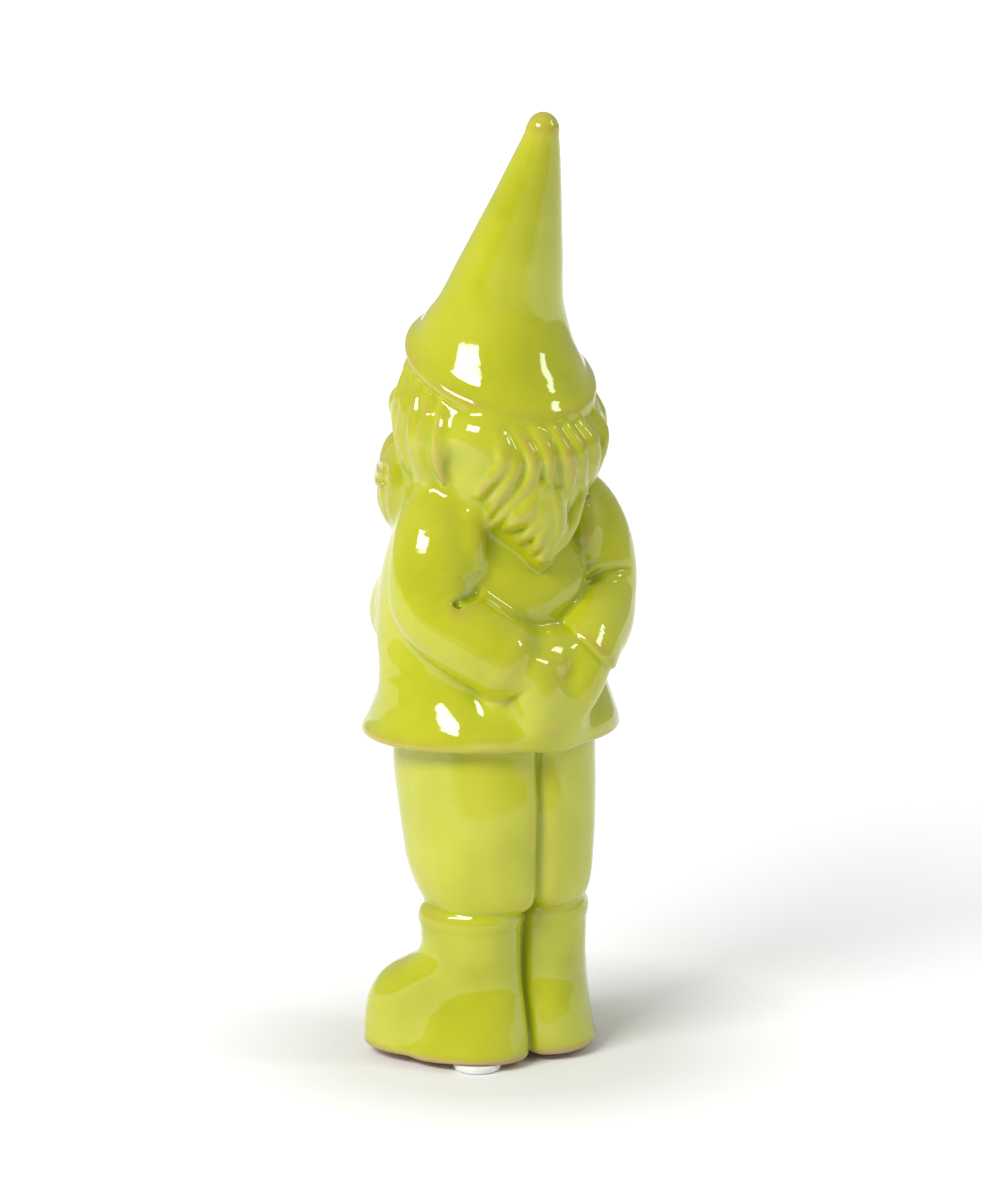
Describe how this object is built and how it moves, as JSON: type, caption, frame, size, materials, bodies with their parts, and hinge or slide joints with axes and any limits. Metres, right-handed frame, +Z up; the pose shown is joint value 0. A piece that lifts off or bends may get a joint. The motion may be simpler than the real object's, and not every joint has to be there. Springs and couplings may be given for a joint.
{
  "type": "ceramic garden gnome figurine",
  "caption": "Standing glazed garden gnome with a tall pointed hat, long wavy hair, flared coat and boots, hands clasped behind its back, on round bumper feet.",
  "frame": {"origin": "centre of the figure's bounding box, at the underside of the bumper feet", "axes": "+Z up, the gnome faces -Y, +X is the gnome's left-hand side"},
  "size_m": [0.0884, 0.0854, 0.3],
  "materials": {
    "glaze": "gloss",
    "bumper": "satin"
  },
  "bodies": {
    "root": {"hat": "glaze", "head": "glaze", "hair": "glaze", "beard": "glaze", "coat_body": "glaze", "coat_skirt": "glaze", "left_sleeve": "glaze", "right_sleeve": "glaze", "left_hand": "glaze", "right_hand": "glaze", "left_trouser": "glaze", "right_trouser": "glaze", "left_boot": "glaze", "right_boot": "glaze", "bumper_left_heel": "bumper", "bumper_left_toe": "bumper", "bumper_right_heel": "bumper", "bumper_right_toe": "bumper"}
  },
  "joints": []
}
